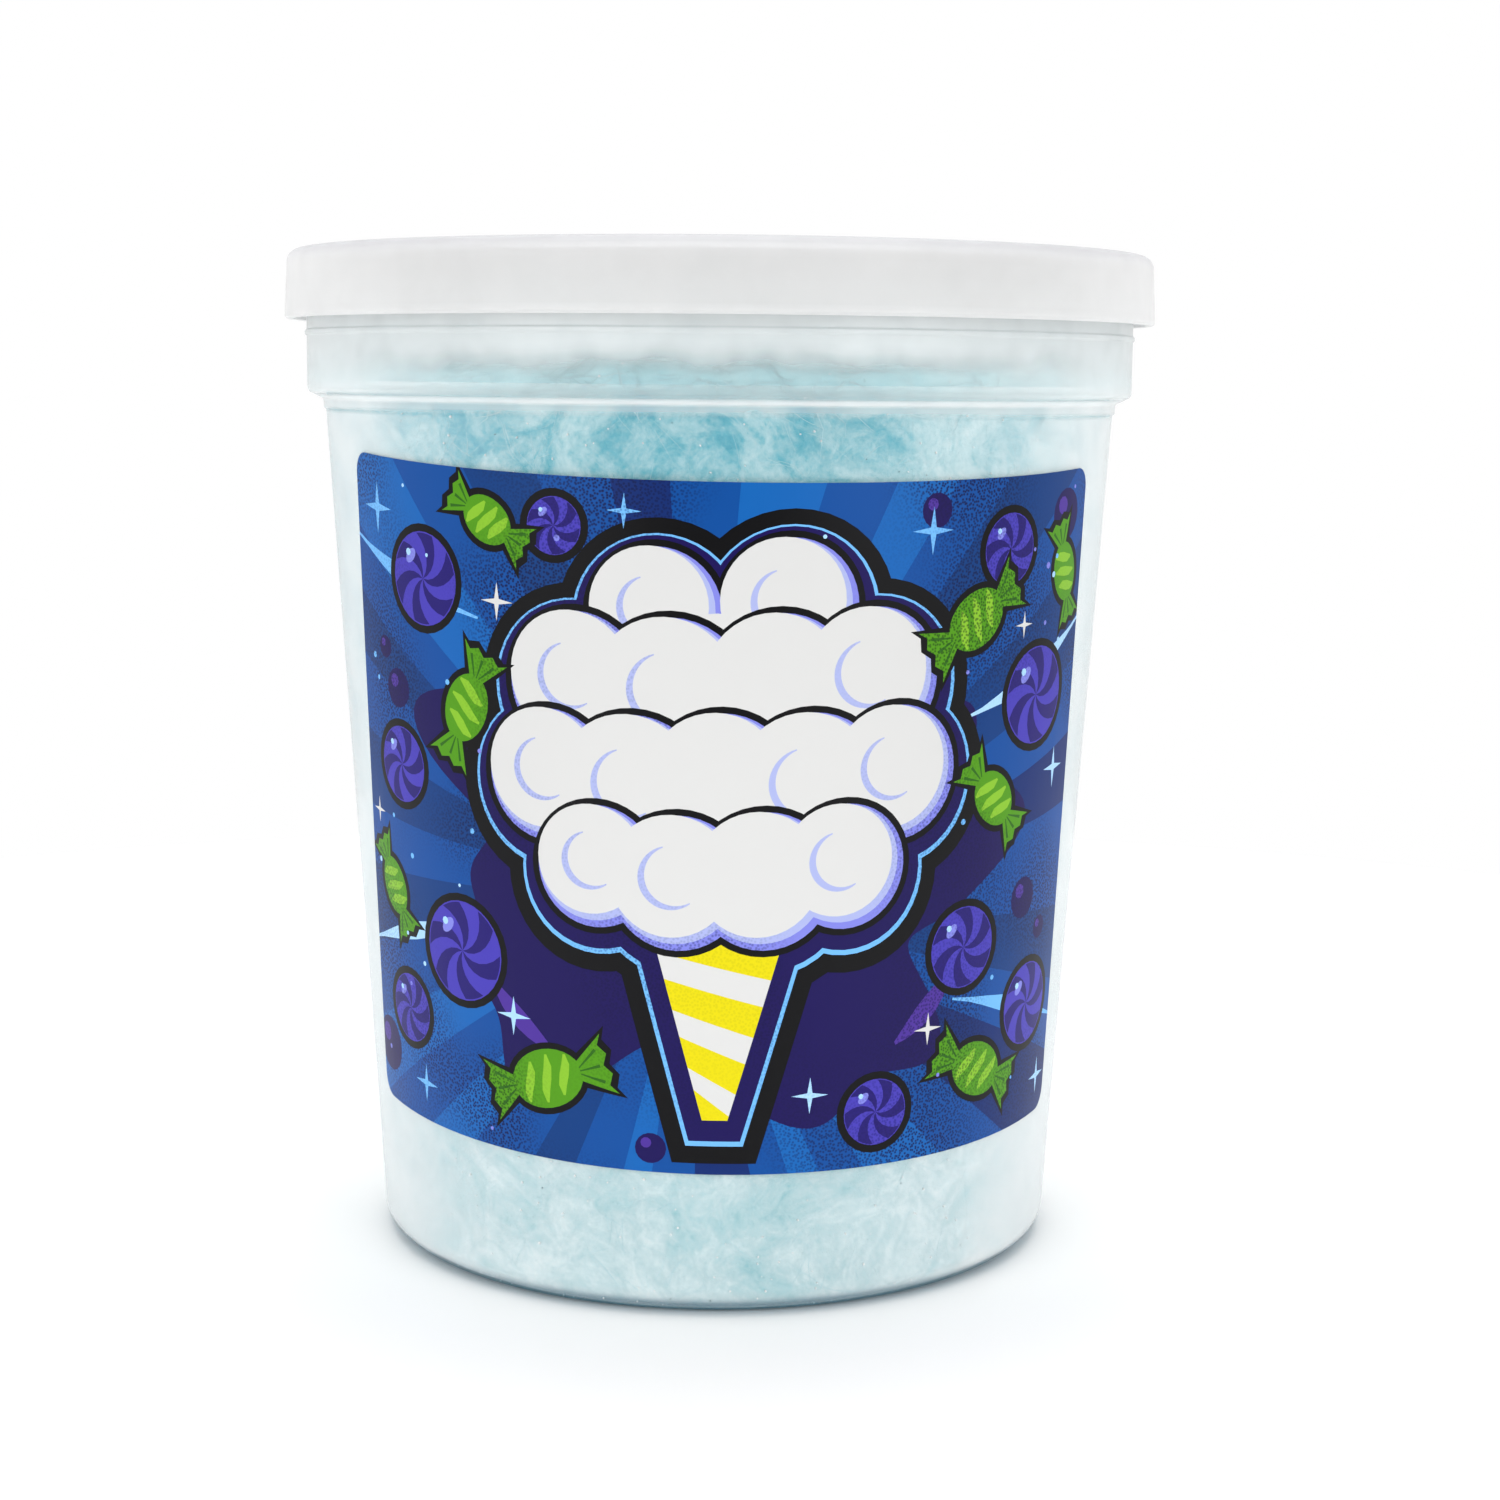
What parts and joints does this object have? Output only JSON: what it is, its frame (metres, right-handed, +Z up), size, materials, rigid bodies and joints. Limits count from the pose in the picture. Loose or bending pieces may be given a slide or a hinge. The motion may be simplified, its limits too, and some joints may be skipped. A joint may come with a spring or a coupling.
{
  "type": "lidded tub of cotton candy",
  "caption": "Cotton candy packed in a tapered translucent tub with a wider collar, closed by a push-on lid with a sunken panel, with a wrapped label on the front.",
  "frame": {"origin": "centre of the foot ring, on the surface the tub stands on", "axes": "+Z up through the lid; the middle of the label faces -Y; +X is to the right as the label is looked at"},
  "size_m": [0.1188, 0.1188, 0.1353],
  "materials": {
    "tub_plastic": "satin",
    "lid_plastic": "satin",
    "printed_film": "satin",
    "spun_sugar": "matte"
  },
  "bodies": {
    "root": {"tub": "tub_plastic", "lid": "lid_plastic", "label": "printed_film", "cotton_candy": "spun_sugar"}
  },
  "joints": []
}
